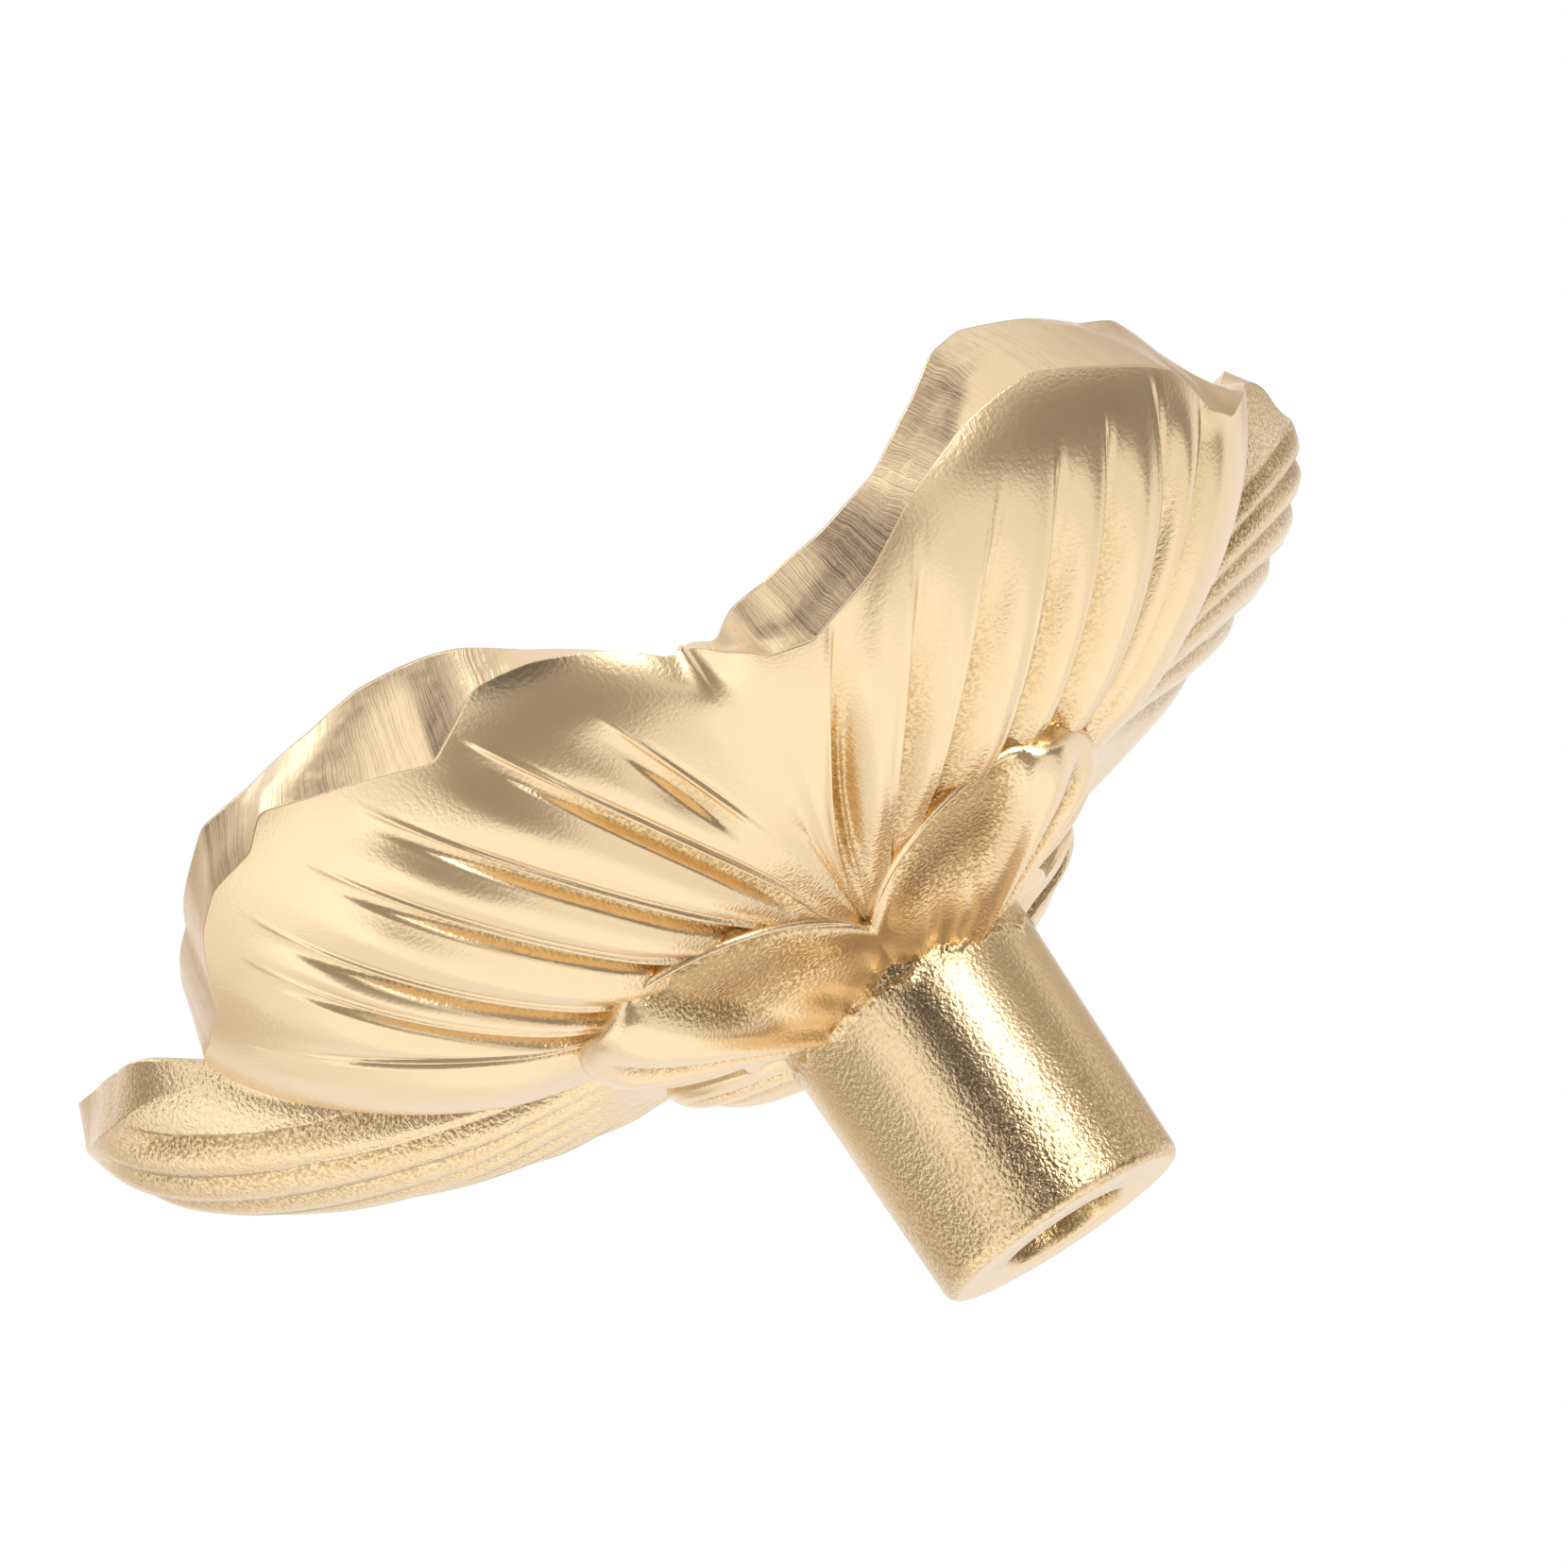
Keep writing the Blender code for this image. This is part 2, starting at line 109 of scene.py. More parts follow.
# Petals between their valleys, anticlockwise from the left one as seen from the open side. The drops bend the
# petal's profile at its foot and under its rim. Veins step down towards the side: 1 for higher azimuths, -1 for
# lower. Relief is the share of the veins' full depth, and sand how rough the casting is.
# A vein is its place at the foot and at the tip, as shares of the petal's span, and the shares of the profile
# where it starts and ends. A rim station is a share of the span, the share of the profile that the grinding
# left, how far in and up the ground face runs, and how far further down the profile it starts. Ground is the
# stretch of the rim that was brushed.
Petal = namedtuple(
    "Petal", "start end columns reach height foot_drop rim_drop side vein relief sand veins rim ground")
PETALS = (
    Petal(-147.0, -76.0, 240, 25.4, 20.9, -0.5, 5.9, -1, "ramp", 1.0, 1.0,
          ((0.22, 0.14, 0.14, 0.90), (0.35, 0.25, 0.14, 0.92), (0.48, 0.36, 0.14, 0.93), (0.62, 0.47, 0.14, 0.94),
           (0.76, 0.59, 0.14, 0.94), (0.90, 0.71, 0.14, 0.94), (1.05, 0.82, 0.16, 0.94), (1.20, 0.94, 0.16, 0.97)),
          ((0.15, 0.90, 1.5, 1.6, 0.0), (0.32, 0.92, 1.6, 1.9, 0.0), (0.49, 0.94, 1.6, 1.4, 0.0),
           (0.66, 0.97, 0.6, 1.3, 0.02), (0.72, 0.97, 0.7, 1.1, 0.02), (0.77, 0.94, 1.2, 1.5, 0.0),
           (0.87, 0.95, 1.1, 1.4, 0.0), (0.94, 0.98, 0.4, 1.3, 0.0)),
          (0.60, 0.76)),
    Petal(-76.0, 0.5, 380, 22.7, 21.4, 0.6, 5.6, -1, "channel", 1.0, 0.12,
          ((0.39, 0.22, 0.16, 0.72), (0.43, 0.385, 0.14, 0.80), (0.515, 0.445, 0.13, 0.84),
           (0.67, 0.55, 0.12, 0.84), (0.80, 0.645, 0.12, 0.86), (0.92, 0.775, 0.12, 0.86),
           (0.98, 0.88, 0.42, 0.80)),
          ((0.08, 0.92, 0.9, 0.7, 0.06), (0.17, 0.88, 1.0, 1.4, 0.07), (0.27, 0.86, 1.0, 1.8, 0.06),
           (0.37, 0.94, 0.8, 0.9, 0.05), (0.43, 0.92, 1.0, 2.0, 0.0), (0.50, 0.92, 1.6, 2.0, 0.0),
           (0.54, 0.96, 1.8, 1.4, 0.0), (0.60, 0.92, 1.8, 2.1, 0.0), (0.67, 0.88, 1.8, 3.0, 0.0),
           (0.72, 0.85, 1.8, 3.4, 0.0), (0.76, 0.89, 1.8, 2.6, 0.0), (0.80, 0.94, 1.4, 1.5, 0.0),
           (0.86, 0.95, 0.7, 0.5, 0.0), (0.93, 0.94, 0.6, 0.1, 0.0), (0.98, 0.93, 0.4, 0.0, 0.0)),
          (0.02, 0.98)),
    Petal(0.5, 72.0, 380, 22.9, 20.4, 0.6, 5.6, 1, "ramp", 1.0, 0.12,
          ((0.005, 0.18, 0.10, 0.78), (0.14, 0.295, 0.12, 0.74), (0.225, 0.405, 0.12, 0.76),
           (0.385, 0.485, 0.12, 0.78), (0.50, 0.56, 0.12, 0.81), (0.67, 0.645, 0.12, 0.84),
           (0.70, 0.74, 0.12, 0.88)),
          ((0.035, 0.86, 0.8, 0.6, 0.0), (0.08, 0.76, 1.9, 2.3, 0.0), (0.13, 0.72, 1.8, 2.7, 0.0),
           (0.22, 0.75, 1.8, 2.3, 0.0), (0.30, 0.83, 1.8, 1.5, 0.0), (0.385, 0.885, 1.8, 1.9, 0.0),
           (0.43, 0.90, 1.6, 2.5, 0.0), (0.48, 0.91, 1.7, 2.6, 0.0), (0.58, 0.87, 1.7, 2.9, 0.0),
           (0.68, 0.84, 1.8, 2.9, 0.0), (0.76, 0.76, 1.0, 4.1, 0.0), (0.83, 0.76, 0.9, 3.2, 0.0),
           (0.90, 0.84, 1.0, 0.6, 0.0)),
          (0.02, 0.98)),
    Petal(72.0, 146.0, 216, 20.5, 19.4, -3.3, 5.9, 1, "ramp", 0.28, 1.3,
          ((-0.66, 0.12, 0.14, 0.98), (-0.50, 0.26, 0.14, 0.97), (-0.32, 0.42, 0.14, 0.96),
           (-0.18, 0.64, 0.14, 0.95), (0.10, 0.80, 0.14, 0.94), (0.36, 0.90, 0.14, 0.92)),
          ((0.08, 1.00, 0.5, 0.6, 0.0), (0.18, 0.90, 0.9, 1.9, 0.0), (0.30, 0.85, 1.3, 1.9, 0.0),
           (0.43, 0.94, 1.1, 0.9, 0.0), (0.59, 0.93, 1.5, 1.5, 0.0), (0.76, 0.90, 1.6, 1.8, 0.0),
           (0.89, 0.93, 1.2, 1.2, 0.0)),
          (0.02, 0.14)),
    Petal(146.0, 213.0, 88, 22.5, 20.8, 0.6, 5.6, 1, "ramp", 0.8, 0.4,
          ((0.16, 0.12, 0.14, 0.84), (0.31, 0.28, 0.12, 0.88), (0.46, 0.45, 0.12, 0.90),
           (0.61, 0.62, 0.12, 0.88), (0.76, 0.78, 0.12, 0.84)),
          ((0.13, 0.90, 1.5, 1.6, 0.0), (0.33, 0.93, 1.6, 1.8, 0.0), (0.51, 0.90, 1.8, 2.2, 0.0),
           (0.69, 0.94, 1.5, 1.4, 0.0), (0.87, 0.89, 1.5, 1.8, 0.0)),
          (0.02, 0.98)),
)

# Rings of the flower, as shares of its outside, of its ground face and of the way down into the cup
OUTER_SHARES = np.concatenate([np.linspace(0.0, 0.985, 48), [0.996, 1.0]])
FACE_SHARES = np.array([0.02, 0.22, 0.41, 0.60, 0.79, 0.97])
LIP_TURNS = np.radians([0.0, 45.0, 90.0])
INNER_SHARES = np.linspace(0.06, 0.97, 9)

# Ridges between ground facets: start and end azimuth, share of the face at each, and height
FACE_RIDGES = (
    (2.0, 15.0, 0.35, 0.50, -0.16),
    (27.0, 47.0, 0.10, 0.90, 0.12),
    (-44.0, -20.0, 0.12, 0.88, 0.09),
    (47.0, 66.0, 0.60, 0.30, 0.12),
)
RIDGE_END_FADE = 1.5

# The fold between the two front petals, which is softened and filled at its foot
FOLD_AZIMUTH = 0.5
FOLD_REACH = 15.0
FOLD_SOFTNESS = 13
CREASE_SOFTNESS = 5
CREASE_REACH = (3.0, 8.0)
FOOT_FILL = 0.55
FILLED_VEINS_LOST = 0.75
FILLED_GROOVES_LOST = 0.6
FOOT_FILL_REACH = 11.0
FOOT_FILL_END = (0.16, 0.42)
FOOT_RECESS = 0.2
FOOT_RECESS_END = (0.22, 0.36)
RIM_SOFTNESS = 2.5
RIM_ROUNDS = 3

# Calyx. A sepal's side is where its channel lies: 1 for higher azimuths, -1 for lower.
Sepal = namedtuple("Sepal", "azimuth half_span reach height side")
SEPALS = (
    Sepal(-140.0, 42.0, 10.6, 12.2, -1),
    Sepal(-38.0, 42.0, 12.8, 12.1, 1),
    Sepal(36.0, 38.0, 12.5, 11.9, -1),
    Sepal(140.0, 40.0, 9.4, 12.8, 1),
)
SEPAL_ROUNDNESS = 0.8
SEPAL_VALLEY_REACH = 5.6
SEPAL_VALLEY_HEIGHT = 10.2
CALYX_COLUMNS = 480
CALYX_SHARES = np.concatenate([np.linspace(0.0, 0.93, 32), [0.97, 1.0]])
CALYX_FOOT_RADIUS = STEM_TOP_RADIUS - 0.45
CALYX_FOOT_HEIGHT = 8.55
CALYX_FOOT_UNEVEN = 0.10
CALYX_VALLEY_LIFT = 0.45

# Grooves beside the ridge, across a sepal from 0 to -1: where each starts, is deepest and ends, and its depth
SIDE_GROOVES = ((-0.20, -0.26, -0.46, 0.42), (-0.52, -0.58, -0.80, 0.36))
SEPAL_CHANNEL_DEPTH = 0.80
SEPAL_DENT_DEPTH = 0.16
SEPAL_RIDGE_HEIGHT = 0.32

# Handles of a sepal's profile, as shares of its reach and in mm or as a share of its height
SEPAL_FOOT_HANDLE = (0.40, 0.9)
SEPAL_TIP_HANDLE = (0.95, 0.35)
SEPAL_EDGE_DEPTH = 0.5

# A sepal's lip: how far in from its reach and down from its top each of its rings lies
SEPAL_LIP = ((0.06, 0.26), (0.30, 0.02), (0.6, 0.0))


def share(low, high, value):
    return np.clip((value - low) / (high - low), 0.0, 1.0)


def smooth(low, high, value):
    t = share(low, high, value)
    return t * t * (3 - 2 * t)


def bump(centre, width, value):
    return np.exp(-((value - centre) / width) ** 2)


def uneven(azimuths, waves):
    """A wandering line round the axis, from -1 to 1, made of waves of these counts."""
    return sum(np.sin(np.radians(azimuths * k + 40 * k)) for k in waves) / len(waves)


def soften(rows, columns):
    """The rows blurred along the ring by a bell of this many columns."""
    steps = np.arange(-round(3 * columns), round(3 * columns) + 1)
    bell = np.exp(-0.5 * (steps / columns) ** 2)
    bell /= bell.sum()
    return sum(w * np.roll(rows, -k, axis=-1) for w, k in zip(bell, steps))


def cubic(points, t):
    """Radius, height and their slopes along a cubic curve, for whole arrays of shares."""
    u = 1 - t
    weights = (u ** 3, 3 * u * u * t, 3 * u * t * t, t ** 3)
    slopes = (-3 * u * u, 3 * u * u - 6 * u * t, 6 * u * t - 3 * t * t, 3 * t * t)
    radius = sum(w * p[0] for w, p in zip(weights, points))
    height = sum(w * p[1] for w, p in zip(weights, points))
    outward = sum(s * p[0] for s, p in zip(slopes, points))
    upward = sum(s * p[1] for s, p in zip(slopes, points))
    return radius, height, outward, upward


def between(valley, crest, swell):
    return [(v[0] + (c[0] - v[0]) * swell, v[1] + (c[1] - v[1]) * swell) for v, c in zip(valley, crest)]


def wrap_sheet(name, azimuths, radius, height, marks):
    """A flat sheet of faces wrapped round the stem's axis, joined along its seam and closed at both ends.

    The arrays of radius and height have a row for each ring, foot to top, and a column for each
    azimuth, which may change from ring to ring. The marks are arrays too, and become the piece's
    attributes, which its finish reads.
    """
    rings, columns = radius.shape
    bpy.ops.object.select_all(action="DESELECT")
    bpy.ops.mesh.primitive_grid_add(x_subdivisions=columns, y_subdivisions=rings - 1, size=2.0)
    piece = bpy.context.object
    piece.name = piece.data.name = name
    mesh = piece.data
    co = np.zeros(len(mesh.vertices) * 3, np.float32)
    mesh.vertices.foreach_get("co", co)
    co = co.reshape(-1, 3).astype(float)
    column = np.rint((co[:, 0] + 1) / 2 * columns).astype(int) % columns
    ring = np.rint((co[:, 1] + 1) / 2 * (rings - 1)).astype(int)
    turned = np.radians(np.broadcast_to(azimuths, radius.shape))[ring, column]
    co[:, 0] = radius[ring, column] * np.sin(turned)
    co[:, 1] = -radius[ring, column] * np.cos(turned)
    co[:, 2] = height[ring, column]
    co = np.clip(co * MM, np.array(cad_low), np.array(cad_high))
    mesh.vertices.foreach_set("co", co.astype(np.float32).ravel())
    for mark, values in marks.items():
        attribute = mesh.attributes.new(mark, "FLOAT", "POINT")
        attribute.data.foreach_set("value", values[ring, column].astype(np.float32))
    bpy.ops.object.mode_set(mode="EDIT")
    bpy.ops.mesh.select_all(action="SELECT")
    bpy.ops.mesh.remove_doubles(threshold=MERGE_DISTANCE)
    bpy.ops.mesh.fill_holes(sides=0)
    bpy.ops.mesh.select_all(action="SELECT")
    bpy.ops.mesh.normals_make_consistent(inside=False)
    bpy.ops.object.mode_set(mode="OBJECT")
    bpy.ops.object.shade_smooth()
    return piece


# Places of the veins on the sheet: the shares of the profile that their foot and tip places belong to
VEIN_FOOT = 0.2
VEIN_TIP = 0.8
LEAST_GAP = 0.004


def vein_lines(veins, along):
    """Each vein's place at these shares of the profile."""
    run = (along - VEIN_FOOT) / (VEIN_TIP - VEIN_FOOT)
    return [foot + (tip - foot) * run for foot, tip, begin, end in veins]


def follow_veins(petal, places, along):
    """The places of the sheet's columns at these shares of the profile, so that each vein has its column."""
    tips = [0.0] + [tip for foot, tip, begin, end in petal.veins] + [1.0]
    lines = [np.zeros_like(along)] + vein_lines(petal.veins, along) + [np.ones_like(along)]
    for k in range(1, len(lines)):
        lines[k] = np.maximum(lines[k], lines[k - 1] + LEAST_GAP)
    lines[-1] = np.ones_like(along)
    for k in range(len(lines) - 2, 0, -1):
        lines[k] = np.minimum(lines[k], lines[k + 1] - LEAST_GAP)
    followed = np.zeros_like(along)
    for low, high, low_line, high_line in zip(tips[:-1], tips[1:], lines[:-1], lines[1:]):
        own = (places >= low) & (places < high)
        weight = (places[own] - low) / (high - low)
        followed[:, own] = low_line[:, own] * (1 - weight) + high_line[:, own] * weight
    return followed


# Vein relief. Each vein is a step down from one band of the petal to the next. Past the step, a channel stays
# narrow, with a bead along its edge, or a ramp rises slowly to the next band. Depths and widths are in mm.
WALL_WIDTH = 0.18
ROUGH_WALL_WIDTH = 0.36
CHANNEL_DEPTH = 0.38
CHANNEL_WIDTH = 0.62
CHANNEL_FAR_WALL = (0.82, 1.18)
CHANNEL_SLOPE = 0.16
CHANNEL_SLOPE_WIDTH = 2.0
BEAD_HEIGHT = 0.07
BEAD_WIDTH = 0.11
BEAD_LINE = 0.12
BEAD_LINE_WIDTH = 0.09
BEAD_LINE_OFFSET = -0.22
RAMP_DEPTH = 0.55
RAMP_WIDTH = 1.9
ROUGH_RAMP_DEPTH = 1.05
ROUGH_RAMP_WIDTH = 3.0
ROUGH_BEAD = 0.12
BAND_HUMP = 0.20
FINE_LINE = 0.07
FINE_LINE_WIDTH = 0.50
SECOND_RIB = 0.22

# Bands between veins: the least width that counts, and the widths under which channels and ramps get
# shallower, down to these shares of their depth
LEAST_BAND = 0.3
CROWDED_CHANNEL = 1.2
CROWDED_CHANNEL_SHARE = 0.15
CROWDED_RAMP = 1.6
CROWDED_RAMP_SHARE = 0.2

# The band past the last vein, as a share of the petal's span
LAST_BAND_SHARE = 0.12

# Fades along a vein, in shares of the profile: after its start, before its end and past its end
VEIN_START_FADE = 0.2
VEIN_END_FADE = 0.10
VEIN_OVERRUN = 0.02
CHANNEL_END_FADE = (0.30, 0.04)
RAMP_END_FADE = 0.32
ROUGH_RAMP_END_FADE = 0.16


def vein_relief(petal, place, span, along, radius):
    """How far the outside stands proud (mm), and how deep in the grooves each point is (0 to 1), which sets the
    painted shade there.
    """
    veins = petal.veins
    if petal.side < 0:
        place = 1 - place
        veins = [(1 - foot, 1 - tip, begin, end) for foot, tip, begin, end in reversed(veins)]
    rough = petal.sand > 0.5
    wall = ROUGH_WALL_WIDTH if rough else WALL_WIDTH
    reach = math.radians(span) * radius
    lines = vein_lines(veins, along)
    lines.append(np.maximum(lines[-1] + LAST_BAND_SHARE, 1.0))
    proud = np.zeros_like(along)
    groove_and_shade = np.zeros_like(along)
    for (foot, tip, begin, end), line, following in zip(veins, lines[:-1], lines[1:]):
        offset = (place - line) * reach
        gap = np.maximum((following - line) * reach, LEAST_BAND)
        started = smooth(begin, begin + VEIN_START_FADE, along)
        tail = started * (1 - smooth(end - VEIN_END_FADE, end + VEIN_OVERRUN, along))
        edge = smooth(-wall / 2, wall, offset)
        if petal.vein == "channel":
            first, last = CHANNEL_END_FADE
            fade = started * (1 - smooth(end - first, end - last, along))
            width = np.minimum(CHANNEL_WIDTH, 0.55 * gap)
            channel = edge * (1 - smooth(*CHANNEL_FAR_WALL, offset / width))
            slope_end = np.minimum(CHANNEL_SLOPE_WIDTH, 0.9 * gap)
            slope = edge * (1 - smooth(0.4 * width, slope_end, offset))
            shallower = np.clip(gap / CROWDED_CHANNEL, CROWDED_CHANNEL_SHARE, 1)
            proud -= (CHANNEL_DEPTH * channel * fade + CHANNEL_SLOPE * slope * tail) * shallower
            proud += BEAD_HEIGHT * bump(-0.02, BEAD_WIDTH, offset) * tail
            proud -= BEAD_LINE * bump(BEAD_LINE_OFFSET, BEAD_LINE_WIDTH, offset) * fade
            groove_and_shade = np.maximum(groove_and_shade, channel * fade)
            crown = share(0, 1, (offset - width) / np.maximum(gap - width - 0.3, 0.1))
        else:
            depth, widest, bead, end_fade = (
                (ROUGH_RAMP_DEPTH, ROUGH_RAMP_WIDTH, ROUGH_BEAD, ROUGH_RAMP_END_FADE) if rough
                else (RAMP_DEPTH, RAMP_WIDTH, BEAD_HEIGHT, RAMP_END_FADE))
            fade = started * (1 - smooth(end - end_fade, end, along))
            width = np.minimum(widest, 0.92 * gap)
            floor = edge * (1 - smooth(0.10, 1.0, offset / width))
            ramp = floor * np.clip(gap / CROWDED_RAMP, CROWDED_RAMP_SHARE, 1)
            fine = edge * (1 - smooth(WALL_WIDTH, FINE_LINE_WIDTH, offset))
            proud -= depth * ramp * fade + FINE_LINE * fine * tail
            proud += bead * bump(-0.10, BEAD_WIDTH, offset) * (0.4 * tail + 0.6 * fade)
            groove_and_shade = np.maximum(groove_and_shade, floor * fade)
            crown = share(0, 1, (offset - 0.35 * width) / np.maximum(gap - 0.35 * width, 0.1))
        proud += BAND_HUMP * np.sin(math.pi * crown) ** 1.5 * fade * np.clip(gap / 2, 0, 1)
    if petal.vein == "ramp" and petal.sand < 0.2:
        # The finely cast petal has a second rib beside its first vein, with a groove past it.
        rib = (place - lines[0]) * reach
        fade = smooth(0.12, 0.22, along) * (1 - smooth(0.32, 0.62, along))
        proud += SECOND_RIB * (bump(0.42, 0.09, rib) - 0.9 * bump(0.72, 0.16, rib)) * fade
    return proud * petal.relief, groove_and_shade


def petal_columns(petal):
    """A petal's rim (kept, inset, rise, lower and ground), and its columns' places in each outer ring."""
    columns = np.arange(petal.columns) / petal.columns
    stations = np.array([(0.0, *VALLEY_STATION), *petal.rim, (1.0, *VALLEY_STATION)])
    rim_place = columns
    for _ in range(RIM_ROUNDS):
        kept = np.interp(rim_place, stations[:, 0], stations[:, 1])
        rim_place = follow_veins(petal, columns, kept[None, :])[0]
    kept, inset, rise, lower = (np.interp(rim_place, stations[:, 0], stations[:, k]) for k in (1, 2, 3, 4))
    is_ground = ((rim_place > petal.ground[0]) & (rim_place < petal.ground[1])).astype(float)
    along = (kept - lower) * OUTER_SHARES[:, None]
    return np.vstack([kept, inset, rise, lower, is_ground]), follow_veins(petal, columns, along)


def cut_veins(side, place, owner, azimuths, along):
    """The outside's rings with the veins cut into them, and how deep in the grooves each point is, which sets the
    painted shade there.
    """
    r, z, outward, upward = side
    proud = np.zeros_like(r)
    groove_and_shade = np.zeros_like(r)
    for k, petal in enumerate(PETALS):
        own = owner == k
        proud[:, own], groove_and_shade[:, own] = vein_relief(
            petal, place[:, own], petal.end - petal.start, along[:, own], r[:, own])
    edge_fade = 1 - smooth(0.94, 1.0, OUTER_SHARES)[:, None]
    filled = bump(FOLD_AZIMUTH, FOOT_FILL_REACH, azimuths) * (1 - smooth(*FOOT_FILL_END, along))
    proud = proud * (1 - FILLED_VEINS_LOST * filled) + FOOT_FILL * filled
    proud -= FOOT_RECESS * (1 - smooth(*FOOT_RECESS_END, along)) * (1 - filled)
    groove_and_shade *= 1 - FILLED_GROOVES_LOST * filled
    proud = proud * edge_fade / np.hypot(outward, upward)
    return r + upward * proud, z - outward * proud, groove_and_shade


def ground_face(low_r, low_z, high_r, high_z, azimuths):
    """The rings of the ground face, from the outside's edge up to the lip, with ridges between its facets."""
    up = FACE_SHARES[:, None]
    radius = low_r + (high_r - low_r) * up
    height = low_z + (high_z - low_z) * up
    for start, end, first, last, ridge in FACE_RIDGES:
        at = first + (last - first) * share(start, end, azimuths)
        shown = (smooth(start - RIDGE_END_FADE, start + RIDGE_END_FADE, azimuths)
                 * (1 - smooth(end - RIDGE_END_FADE, end + RIDGE_END_FADE, azimuths)))
        tent = np.minimum(up / np.maximum(at, 0.01), (1 - up) / np.maximum(1 - at, 0.01))
        proud = ridge * shown * np.clip(tent, 0, 1)
        radius = radius + proud * 0.8
        height = height + proud * 0.6
    return radius, height


def lip_and_cup(top_r, top_z, swell):
    """The rings over the rounded lip and down inside the petals to the middle of the cup."""
    turns = LIP_TURNS[:, None]
    lip_r = top_r - LIP_ROUND * np.sin(turns)
    lip_z = top_z - LIP_ROUND * (1 - np.cos(turns)) * LIP_FLATNESS
    lip = (lip_r[-1], lip_z[-1])
    floor = (0, CUP_FLOOR_HEIGHT)
    crest = (lip, (lip[0] + CUP_CREST_HANDLE[0], lip[1] - CUP_CREST_HANDLE[1]),
             (CUP_CREST_FLOOR_HANDLE[0], CUP_FLOOR_HEIGHT - CUP_CREST_FLOOR_HANDLE[1]), floor)
    valley = (lip, (lip[0] - CUP_VALLEY_HANDLE[0], lip[1] - CUP_VALLEY_HANDLE[1]),
              (CUP_VALLEY_FLOOR_HANDLE, CUP_FLOOR_HEIGHT), floor)
    inner_r, inner_z, _, _ = cubic(between(valley, crest, swell), INNER_SHARES[:, None])
    return np.vstack([lip_r, inner_r]), np.vstack([lip_z, inner_z])


def make_flower():
    """The five petals in one sheet: up the outside, over the ground rim and its lip, and down into the cup."""
    rims, places = zip(*(petal_columns(petal) for petal in PETALS))
    kept, inset, rise, lower, is_ground = np.hstack(rims)
    place = np.hstack(places)
    kept, inset, rise, lower = (soften(row, RIM_SOFTNESS) for row in (kept, inset, rise, lower))
    owner = np.repeat(np.arange(len(PETALS)), [petal.columns for petal in PETALS])
    reach, top, foot_drop, rim_drop, sand, start, end = (
        np.array([getattr(petal, key) for petal in PETALS])[owner]
        for key in ("reach", "height", "foot_drop", "rim_drop", "sand", "start", "end"))
    outer_azimuths = start + place * (end - start)
    azimuths = outer_azimuths[-1]
    from_fold = np.abs(outer_azimuths - FOLD_AZIMUTH)
    outer_swell = (1 - np.abs(2 * place - 1) ** SWELL_FULLNESS) ** (1 / SWELL_ROUNDNESS)
    creased = soften(outer_swell, CREASE_SOFTNESS) - outer_swell
    outer_swell = outer_swell + creased * (1 - smooth(*CREASE_REACH, from_fold))
    swell = outer_swell[-1]

    foot = (STEM_TOP_RADIUS, FLOWER_FOOT_HEIGHT)
    crest = (foot, (foot[0] + CREST_FOOT_HANDLE, foot[1] - foot_drop), (reach, top - rim_drop), (reach, top))
    valley = (foot, (foot[0] + VALLEY_FOOT_HANDLE[0], foot[1] + VALLEY_FOOT_HANDLE[1]),
              (VALLEY_REACH - VALLEY_RIM_HANDLE[0], VALLEY_HEIGHT - VALLEY_RIM_HANDLE[1]),
              (VALLEY_REACH, VALLEY_HEIGHT))
    edge_r, edge_z, _, _ = cubic(between(valley, crest, swell), kept)
    top_r, top_z = edge_r - inset, edge_z + rise
    along = (kept - lower) * OUTER_SHARES[:, None]
    near_fold = 1 - smooth(0.4 * FOLD_REACH, FOLD_REACH, from_fold)
    folded = near_fold * (1 - smooth(0.80, 0.985, OUTER_SHARES))[:, None]
    side = [f + folded * (soften(f, FOLD_SOFTNESS) - f) for f in cubic(between(valley, crest, outer_swell), along)]
    outer_r, outer_z, groove_and_shade = cut_veins(side, place, owner, outer_azimuths, along)
    face_r, face_z = ground_face(outer_r[-1], outer_z[-1], top_r, top_z, azimuths)
    inner_r, inner_z = lip_and_cup(top_r, top_z, swell)

    radius = np.vstack([outer_r, face_r, inner_r])
    height = np.vstack([outer_z, face_z, inner_z])
    outside = len(OUTER_SHARES)
    ground = np.zeros_like(radius)
    ground[outside - 1:outside + len(FACE_SHARES)] = is_ground
    # Painted shade in the veins' grooves.
    painted_hollow_shade = np.zeros_like(radius)
    painted_hollow_shade[:outside] = groove_and_shade
    cast = np.zeros_like(radius) + sand
    cast[:outside] += np.maximum(1 - sand, 0) * np.maximum(1 - smooth(0.2, 0.42, along), 0.5 * groove_and_shade)
    rings = np.vstack([outer_azimuths] + [azimuths] * (len(radius) - outside))
    marks = {"ground": ground, "cast": cast, "groove_and_shade": painted_hollow_shade,
             "across": np.broadcast_to(np.radians(azimuths) * 20.0, radius.shape)}
    return wrap_sheet("flower_petals", rings, radius, height, marks)


